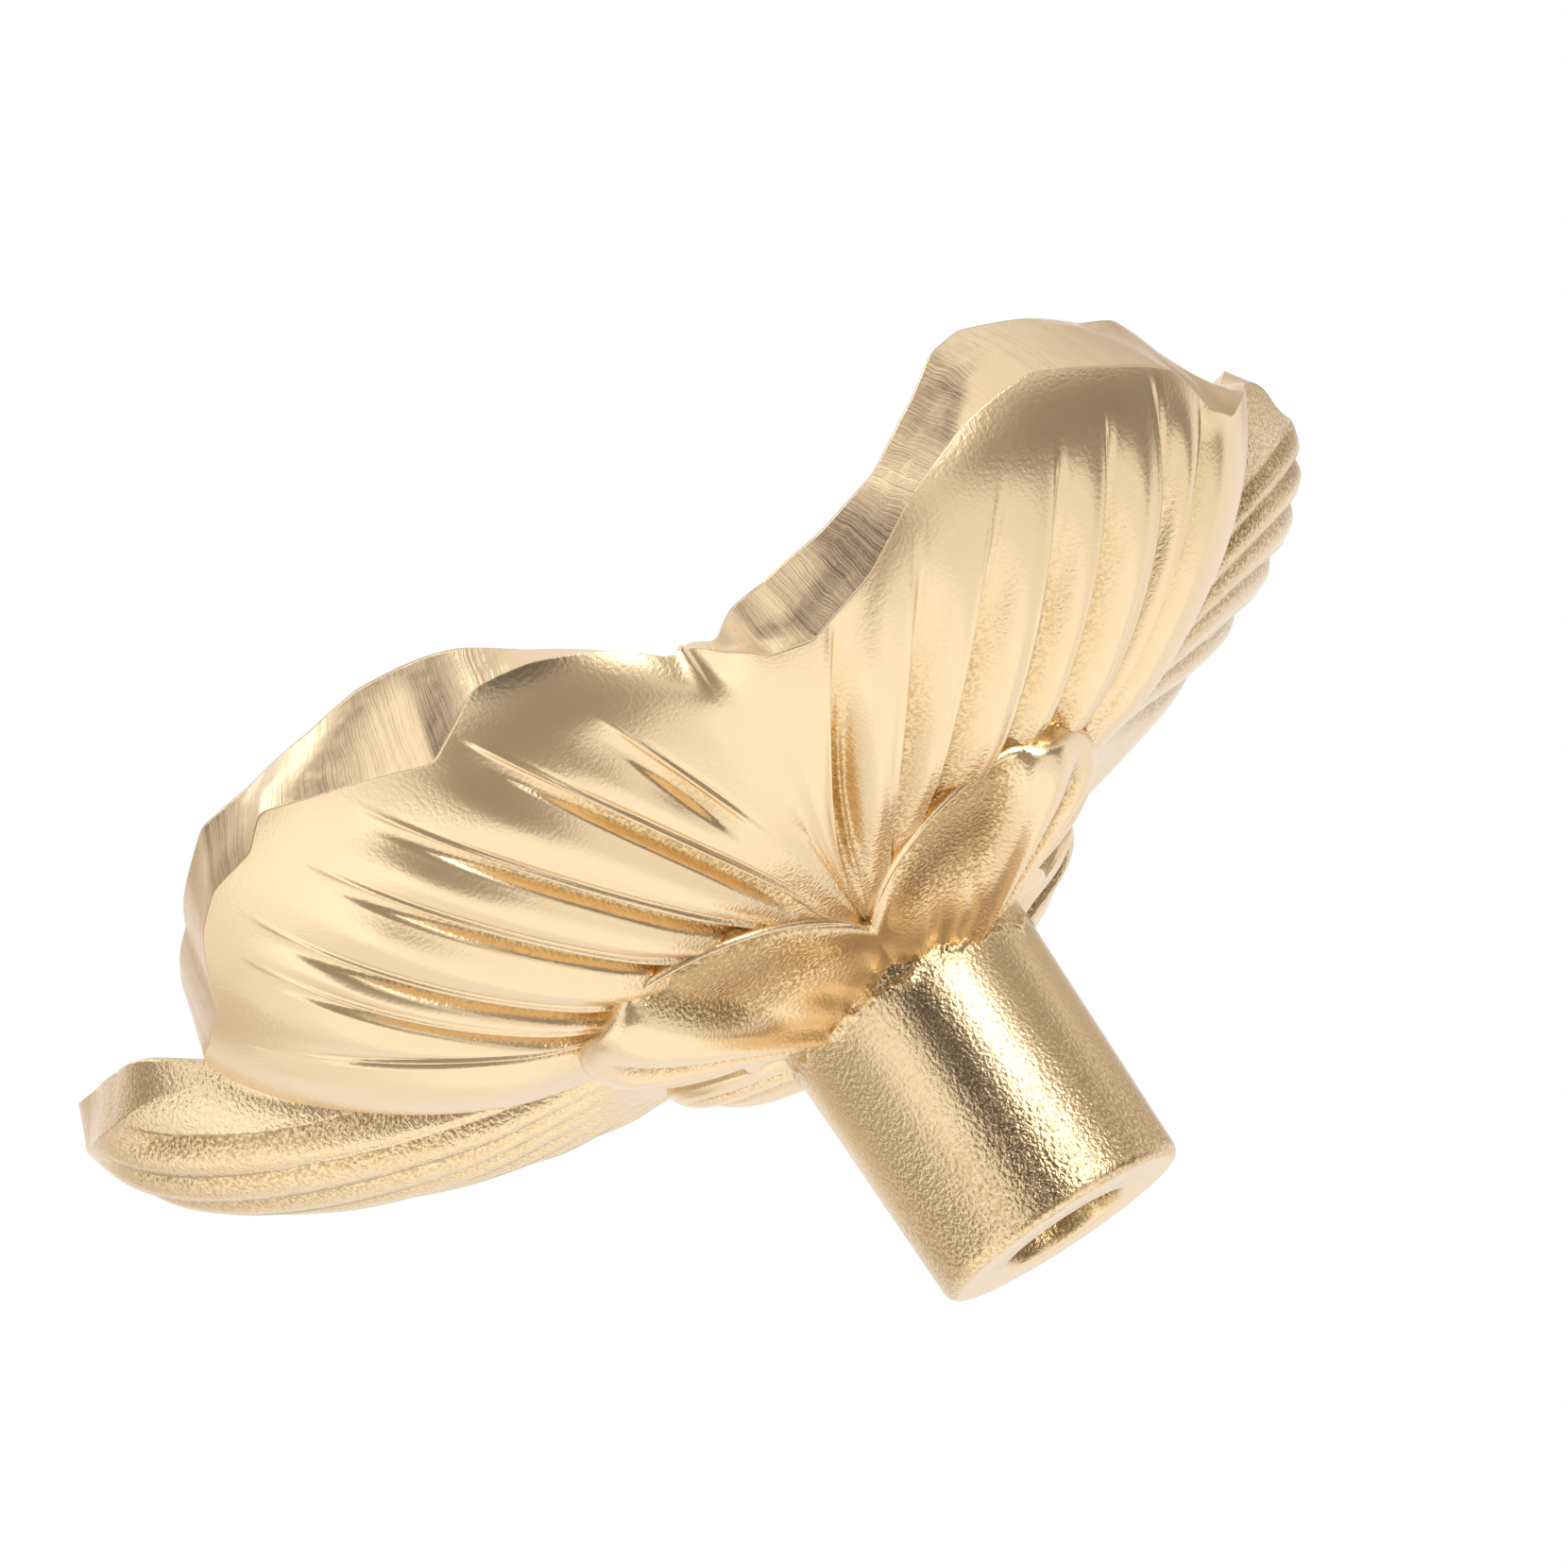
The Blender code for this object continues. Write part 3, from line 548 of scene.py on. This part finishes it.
def make_calyx():
    """The four sepals in one sheet, from the ragged foot on the stem up to their lips and in behind them."""
    azimuths = np.arange(CALYX_COLUMNS) * 360 / CALYX_COLUMNS
    swell = np.zeros_like(azimuths)
    reach = np.full_like(azimuths, SEPAL_VALLEY_REACH)
    top = np.full_like(azimuths, SEPAL_VALLEY_HEIGHT)
    across = np.ones_like(azimuths)
    for sepal in SEPALS:
        offset = ((azimuths - sepal.azimuth + 180) % 360 - 180) / sepal.half_span
        own = np.cos(math.pi / 2 * np.clip(np.abs(offset), 0, 1)) ** SEPAL_ROUNDNESS
        wider = own > swell
        swell = np.where(wider, own, swell)
        reach = np.where(wider, SEPAL_VALLEY_REACH + (sepal.reach - SEPAL_VALLEY_REACH) * own, reach)
        top = np.where(wider, SEPAL_VALLEY_HEIGHT + (sepal.height - SEPAL_VALLEY_HEIGHT) * own, top)
        across = np.where(wider, offset * sepal.side, across)

    ragged = uneven(azimuths, (7, 13, 22, 31))
    foot_r = CALYX_FOOT_RADIUS
    foot_z = CALYX_FOOT_HEIGHT + CALYX_VALLEY_LIFT * (1 - swell) + CALYX_FOOT_UNEVEN * ragged
    curve = ((foot_r, foot_z),
             (foot_r + SEPAL_FOOT_HANDLE[0] * (reach - foot_r), foot_z + SEPAL_FOOT_HANDLE[1]),
             (foot_r + SEPAL_TIP_HANDLE[0] * (reach - foot_r), foot_z + SEPAL_TIP_HANDLE[1] * (top - foot_z)),
             (reach, top - SEPAL_EDGE_DEPTH))
    along = CALYX_SHARES[:, None]
    r, z, outward, upward = cubic(curve, along)

    inside = smooth(0.0, 0.06, along) * (1 - smooth(0.95, 0.99, along)) * smooth(0.05, 0.30, swell)
    near_stem = 1 - smooth(0.55, 0.92, along)
    groove_and_shade = smooth(0.04, 0.18, across) * (1 - smooth(0.30, 1.0, across)) * smooth(0.16, 0.50, along)
    proud = -SEPAL_CHANNEL_DEPTH * groove_and_shade
    for start, deepest, end, depth in SIDE_GROOVES:
        beside = smooth(start, deepest, across) * (1 - smooth(deepest, end, across)) * near_stem
        proud = proud - depth * beside
        groove_and_shade = np.maximum(groove_and_shade, beside)
    dent = bump(0.42, 0.10, across) * (1 - smooth(0.18, 0.34, along))
    ridge = bump(-0.05, 0.12, across)
    proud = inside * (proud - SEPAL_DENT_DEPTH * dent + SEPAL_RIDGE_HEIGHT * ridge) / np.hypot(outward, upward)
    groove_and_shade = inside * groove_and_shade

    behind_r = [reach - inset for inset, drop in SEPAL_LIP] + [foot_r + 0.4 * (reach - foot_r)]
    behind_z = [top - drop for inset, drop in SEPAL_LIP] + [np.full_like(top, HIDDEN_TOP)]
    radius = np.vstack([r + upward * proud, *behind_r])
    height = np.vstack([z - outward * proud, *behind_z])
    # Painted shade in the sepals' channels and side grooves.
    painted_hollow_shade = np.zeros_like(radius)
    painted_hollow_shade[:len(along)] = groove_and_shade
    near_foot = np.zeros_like(radius)
    near_foot[:len(along)] = 1 - smooth(0.0, 0.3, along)
    cast = np.clip(0.25 + 1.25 * painted_hollow_shade + 0.6 * near_foot, 0, 1.35)
    marks = {"ground": np.zeros_like(radius), "cast": cast, "groove_and_shade": painted_hollow_shade,
             "across": np.broadcast_to(np.radians(azimuths) * 10, radius.shape)}
    return wrap_sheet("calyx", azimuths, radius, height, marks)


def make_stem():
    """The stem from its hidden top down to the end face, and then up the tapped hole to its tip."""
    azimuths = np.arange(STEM_COLUMNS) * 360 / STEM_COLUMNS
    turns = np.radians(np.linspace(0, 90, 7))
    # The wall's rings lie closer together round the flash.
    wall_z = np.concatenate([np.linspace(HIDDEN_TOP, 9.8, 4), np.linspace(9.6, 8.2, 22),
                             np.linspace(8.0, STEM_EDGE_ROUND + 0.05, 26)])
    rows = [(STEM_TOP_RADIUS - 2.0, HIDDEN_TOP)]
    rows += [(STEM_END_RADIUS + (STEM_TOP_RADIUS - STEM_END_RADIUS) * z / HIDDEN_TOP, z) for z in wall_z]
    rows += [(STEM_END_RADIUS - STEM_EDGE_ROUND * (1 - math.cos(a)), STEM_EDGE_ROUND * (1 - math.sin(a)))
             for a in turns]
    rows += [(STEM_END_RADIUS - STEM_EDGE_ROUND - 0.1, 0.0), (END_FACE_RADIUS, 0.0),
             (HOLE_MOUTH_RADIUS + HOLE_MOUTH_EDGE, 0.0), (HOLE_MOUTH_RADIUS, 0.04),
             (HOLE_MOUTH_RADIUS - HOLE_MOUTH_EDGE, 0.28)]
    in_hole = len(rows)
    thread_z = np.arange(THREAD_START, HOLE_DEPTH, THREAD_STEP)
    narrowing = smooth(0.3, HOLE_MOUTH_END, thread_z)
    core = HOLE_MOUTH_RADIUS - HOLE_MOUTH_STEP + (HOLE_RADIUS - HOLE_MOUTH_RADIUS + HOLE_MOUTH_STEP) * narrowing
    rows += list(zip(core, thread_z))
    rows += [(HOLE_TIP_RADIUS, HOLE_DEPTH + HOLE_TIP)]
    radius = np.array([[r] * STEM_COLUMNS for r, z in rows])
    height = np.array([[z] * STEM_COLUMNS for r, z in rows])

    wander = uneven(azimuths, (5, 11, 17, 29))
    flash_z = FLASH_HEIGHT + FLASH_WANDER * np.roll(wander, 31)
    flash = (FLASH_PROUD + FLASH_UNEVEN * wander) * bump(flash_z, FLASH_WIDTH, wall_z[:, None])
    radius[1:1 + len(wall_z)] += flash
    phase = (thread_z[:, None] / THREAD_PITCH - azimuths[None, :] / 360) % 1
    full = smooth(HOLE_DEPTH, HOLE_DEPTH - THREAD_RUN_OUT, thread_z) * narrowing
    radius[in_hole:in_hole + len(thread_z)] += THREAD_DEPTH * (1 - np.abs(2 * phase - 1)) * full[:, None]

    # The wall is sandier towards its end and at the flash, and the end face is smoother.
    cast = 0.50 + 0.45 * (1 - smooth(1.0, 6.0, height)) + 0.5 * bump(FLASH_HEIGHT, 0.5, height)
    cast[len(wall_z) + len(turns):in_hole] = 0.3
    cast[in_hole - 1:] = 0.9
    # Painted shade: the screw hole and its mouth are shaded in full, and the wall a little all over.
    painted_hollow_shade = np.full_like(radius, 0.35)
    painted_hollow_shade[in_hole - 1:] = 1.0
    marks = {"ground": np.zeros_like(radius), "cast": cast, "groove_and_shade": painted_hollow_shade,
             "across": np.broadcast_to(np.radians(azimuths) * 4, radius.shape)}
    return wrap_sheet("stem", azimuths, radius, height, marks)


class Value:
    """A node's output socket, so that shader maths reads as an expression."""

    def __init__(self, tree, socket=None):
        self.tree = tree
        self.socket = socket

    def node(self, kind, settings=None, output=0, **inputs):
        """Adds a node of this kind, with its settings and the values or links of its sockets."""
        added = self.tree.nodes.new(kind)
        for name, setting in (settings or {}).items():
            setattr(added, name, setting)
        for name, given in inputs.items():
            key = int(name[1:]) if name[0] == "_" else name.replace("_", " ")
            target = added.inputs[key]
            if isinstance(given, Value):
                self.tree.links.new(given.socket, target)
            else:
                target.default_value = given
        return Value(self.tree, added.outputs[output])

    def feeds(self, target):
        """Links this value to a socket of a node that is already there."""
        self.tree.links.new(self.socket, target)

    def maths(self, operation, first, second=0.0):
        return self.node("ShaderNodeMath", {"operation": operation}, _0=first, _1=second)

    def __add__(self, other):
        return self.maths("ADD", self, other)

    def __radd__(self, other):
        return self.maths("ADD", other, self)

    def __sub__(self, other):
        return self.maths("SUBTRACT", self, other)

    def __rsub__(self, other):
        return self.maths("SUBTRACT", other, self)

    def __mul__(self, other):
        return self.maths("MULTIPLY", self, other)

    def __rmul__(self, other):
        return self.maths("MULTIPLY", other, self)

    def clamped(self, low, high):
        return self.node("ShaderNodeMapRange", {"interpolation_type": "SMOOTHSTEP"},
                         Value=self, From_Min=low, From_Max=high)

    def mixed(self, first, second):
        """Two colours mixed by this value."""
        return self.node("ShaderNodeMix", {"data_type": "RGBA"}, output=2, _0=self, _6=first, _7=second)


# Pale brass is the metal's own colour, and ground brass that of the ground faces. The shade-and-mottle colour is
# painted shade in the grooves mixed with random mottle. The sandy one is darker painted shade in sandy grooves.
BRASS_PALE = (0.87, 0.67, 0.42, 1.0)
BRASS_SHADE_AND_MOTTLE = (0.79, 0.57, 0.29, 1.0)
BRASS_SANDY_GROOVE_SHADE = (0.50, 0.34, 0.16, 1.0)
BRASS_GROUND = (0.86, 0.65, 0.41, 1.0)

# Scales of the noises, for each metre, or for the strokes for each unit of the across mark
GRAIN_SCALE = 5600.0
PITS_SCALE = 7800.0
MOTTLE_SCALE = 700.0
STROKES_SCALE = 15.0

# Depth in metres of a height of 1 in the relief
RELIEF_DEPTH = 0.00006


def make_brass():
    """Satin cast brass: sandy where it is left as cast, with painted shade in its grooves and screw hole, brushed
    where it is ground.
    """
    material = bpy.data.materials.new("cast_brass_with_groove_shade")
    material.use_nodes = True
    shader = material.node_tree.nodes["Principled BSDF"]
    start = Value(material.node_tree)
    place = start.node("ShaderNodeTexCoord", output="Object")
    ground, cast, groove_and_shade, across = (
        start.node("ShaderNodeAttribute", {"attribute_name": mark}, output="Fac")
        for mark in ("ground", "cast", "groove_and_shade", "across"))

    grain = start.node("ShaderNodeTexNoise", {"noise_type": "RIDGED_MULTIFRACTAL"}, Vector=place,
                       Scale=GRAIN_SCALE, Detail=1.5, Roughness=0.6)
    pits = start.node("ShaderNodeTexNoise", Vector=place, Scale=PITS_SCALE, Detail=2.0)
    mottle = start.node("ShaderNodeTexNoise", Vector=place, Scale=MOTTLE_SCALE, Detail=2.0)
    strokes = start.node("ShaderNodeTexNoise", {"noise_dimensions": "1D"}, W=across + mottle * 0.35,
                         Scale=STROKES_SCALE, Detail=3.0, Roughness=0.7)
    sand = cast * (1 - ground)
    specks = pits.clamped(0.38, 0.62)

    height = grain * sand.clamped(0.2, 1.2) * 0.28 + pits * (sand * 0.70 + 0.04) + strokes * ground * 0.28
    relief = start.node("ShaderNodeBump", Strength=1.0, Distance=RELIEF_DEPTH, Height=height)
    # Painted shade: the grooves, the screw hole and, a little, the stem's wall take the deeper brass, mixed with
    # random mottle and speckled grain.
    shade_and_mottle = (groove_and_shade * 0.65 + sand * specks * 0.3 + mottle * 0.2).clamped(0.1, 0.95)
    # Painted shade, darker still, where grooves are sandy, broken into specks.
    sandy_groove_shade = (groove_and_shade * sand * (specks * 1.1 + 0.45)).clamped(0.12, 0.95)
    colour = sandy_groove_shade.mixed(shade_and_mottle.mixed(BRASS_PALE, BRASS_SHADE_AND_MOTTLE), BRASS_SANDY_GROOVE_SHADE)
    ground.mixed(colour, BRASS_GROUND).feeds(shader.inputs["Base Color"])
    (0.24 - sand * 0.04 - ground * 0.04 + mottle * 0.06).feeds(shader.inputs["Roughness"])
    relief.feeds(shader.inputs["Normal"])
    shader.inputs["Metallic"].default_value = 1.0
    return material


# Camera, at the photograph's angle. Positions are in mm and the shift of its centre in pixels.
CAMERA_TARGET = Vector((0.35, 0.0, 16.3))
CAMERA_DISTANCE = 250.0
CAMERA_ELEVATION = math.radians(-11.7)
CAMERA_ROLL = math.radians(33.6)
IMAGE_SIZE = 1660
FOCAL_PIXELS = 8437.0
CENTRE_SHIFT = (-6.0, 9.0)
SENSOR_MM = 36.0


def make_camera():
    forward = Vector((0.0, math.cos(CAMERA_ELEVATION), -math.sin(CAMERA_ELEVATION)))
    level = Vector((1.0, 0.0, 0.0))
    upright = level.cross(forward)
    cos, sin = math.cos(CAMERA_ROLL), math.sin(CAMERA_ROLL)
    right = level * cos - upright * sin
    up = level * sin + upright * cos
    per_pixel = CAMERA_DISTANCE / FOCAL_PIXELS
    place = CAMERA_TARGET - forward * CAMERA_DISTANCE
    place += right * CENTRE_SHIFT[0] * per_pixel + up * CENTRE_SHIFT[1] * per_pixel
    data = bpy.data.cameras.new("photo_camera")
    data.sensor_width = SENSOR_MM
    data.lens = FOCAL_PIXELS / IMAGE_SIZE * SENSOR_MM
    data.clip_start = 0.01
    camera = bpy.data.objects.new("photo_camera", data)
    bpy.context.scene.collection.objects.link(camera)
    camera.matrix_world = Matrix.Translation(place * MM) @ Matrix((right, up, -forward)).transposed().to_4x4()
    bpy.context.scene.camera = camera


# Studio, in metres, round the middle of the knob
STUDIO_CENTRE = Vector((0.0, 0.0, 0.014))
STUDIO_RADIUS = 0.5
CARD_RADIUS = STUDIO_RADIUS * 1.05
CARD_GREEN = 0.90
CARD_BLUE = 0.79
FLOOR_SIZE = 1.6
FLOOR_GREY = (0.86, 0.86, 0.86, 1.0)
WHITE = (1.0, 1.0, 1.0, 1.0)
WORLD_LIGHT = 0.8


def direction(azimuth, elevation):
    a, e = math.radians(azimuth), math.radians(elevation)
    return Vector((math.sin(a) * math.cos(e), -math.cos(a) * math.cos(e), math.sin(e)))


def opening(degrees):
    """The width that covers this angle at the studio's radius."""
    return 2 * STUDIO_RADIUS * math.tan(math.radians(degrees) / 2)


def make_lamp(name, azimuth, elevation, wide, tall, brightness):
    """A soft panel of light, as wide and tall in degrees. A mirror facing it would show its brightness."""
    data = bpy.data.lights.new(name, "AREA")
    data.shape = "RECTANGLE"
    data.size = opening(wide)
    data.size_y = opening(tall)
    data.energy = brightness * math.pi * data.size * data.size_y
    lamp = bpy.data.objects.new(name, data)
    bpy.context.scene.collection.objects.link(lamp)
    lamp.location = STUDIO_CENTRE + direction(azimuth, elevation) * STUDIO_RADIUS
    lamp.rotation_euler = direction(azimuth, elevation).to_track_quat("Z", "Y").to_euler()


def make_card(name, azimuth, elevation, wide, tall, level):
    """A warm grey card out of view, which only reflections see, as a studio's dark side."""
    bpy.ops.object.select_all(action="DESELECT")
    bpy.ops.mesh.primitive_plane_add(size=1.0)
    card = bpy.context.object
    card.name = name
    card.scale = (opening(wide), opening(tall), 1.0)
    card.location = STUDIO_CENTRE + direction(azimuth, elevation) * CARD_RADIUS
    card.rotation_euler = direction(azimuth, elevation).to_track_quat("Z", "Y").to_euler()
    bpy.ops.object.transform_apply(location=True, rotation=True, scale=True)
    card.visible_camera = False
    card.visible_diffuse = False
    card.visible_shadow = False
    material = bpy.data.materials.new(name)
    material.use_nodes = True
    nodes = material.node_tree.nodes
    nodes.remove(nodes["Principled BSDF"])
    glow = Value(material.node_tree).node(
        "ShaderNodeEmission", Color=(level, level * CARD_GREEN, level * CARD_BLUE, 1.0))
    glow.feeds(nodes["Material Output"].inputs["Surface"])
    card.data.materials.append(material)


def make_floor():
    """A pale floor at the stem's end. The photograph's camera is below it and sees through it."""
    bpy.ops.object.select_all(action="DESELECT")
    bpy.ops.mesh.primitive_plane_add(size=FLOOR_SIZE)
    floor = bpy.context.object
    floor.name = "floor"
    material = bpy.data.materials.new("floor_paper")
    material.use_nodes = True
    nodes = material.node_tree.nodes
    nodes["Principled BSDF"].inputs["Base Color"].default_value = FLOOR_GREY
    nodes["Principled BSDF"].inputs["Roughness"].default_value = 0.9
    paper = Value(material.node_tree, nodes["Principled BSDF"].outputs[0])
    clear = paper.node("ShaderNodeBsdfTransparent")
    from_below = paper.node("ShaderNodeNewGeometry", output="Backfacing")
    one_sided = paper.node("ShaderNodeMixShader", _0=from_below, _1=paper, _2=clear)
    one_sided.feeds(nodes["Material Output"].inputs["Surface"])
    floor.data.materials.append(material)
    floor.visible_glossy = False
    floor.visible_diffuse = False
    floor.visible_shadow = False


def make_world():
    """Plain white light, and a white background for the camera and for what the metal reflects."""
    world = bpy.data.worlds.new("studio_white")
    bpy.context.scene.world = world
    world.use_nodes = True
    nodes = world.node_tree.nodes
    nodes["Background"].inputs["Color"].default_value = WHITE
    nodes["Background"].inputs["Strength"].default_value = WORLD_LIGHT
    light = Value(world.node_tree, nodes["Background"].outputs[0])
    backdrop = light.node("ShaderNodeBackground", Color=WHITE)
    paths = nodes.new("ShaderNodeLightPath").outputs
    camera, glossy, through = (
        Value(world.node_tree, paths[kind]) for kind in ("Is Camera Ray", "Is Glossy Ray", "Is Transmission Ray"))
    shown = light.node("ShaderNodeMixShader", _0=camera + glossy + through, _1=light, _2=backdrop)
    shown.feeds(nodes["World Output"].inputs["Surface"])


brass = make_brass()
for piece in (make_flower(), make_calyx(), make_stem()):
    piece.data.materials.append(brass)
    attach(piece, "root")
    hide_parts("flower_knob")

make_camera()
make_world()
make_floor()
# Cards and lamps: azimuth and elevation, width and height in degrees, and level
make_card("card_camera", 5, 3, 36, 50, 0.04)
make_card("card_low_front", -5, -44, 60, 44, 0.36)
make_card("card_low_right", 86, -30, 66, 34, 0.28)
make_card("card_right", 84, 14, 46, 36, 0.42)
make_card("card_back_right", 138, 16, 48, 36, 0.62)
make_card("card_left", -87, 24, 62, 42, 0.42)
make_card("card_back_left", -126, 10, 26, 70, 0.72)
make_card("card_high_left", -89, 58, 22, 28, 0.0)
make_card("card_over_notch", 40, 84, 24, 18, 0.05)
make_lamp("strip_right", 41, -2, 15, 46, 4.0)
make_lamp("panel_left", -70, -26, 34, 44, 0.30)
make_lamp("strip_left", -34, 8, 20, 34, 0.20)
make_lamp("panel_high", -8, 60, 28, 18, 0.35)
make_lamp("panel_below", -110, -76, 90, 60, 0.20)
make_lamp("spot_high_left", -136, 66, 10, 10, 4.5)

bpy.context.scene.view_settings.view_transform = "Standard"
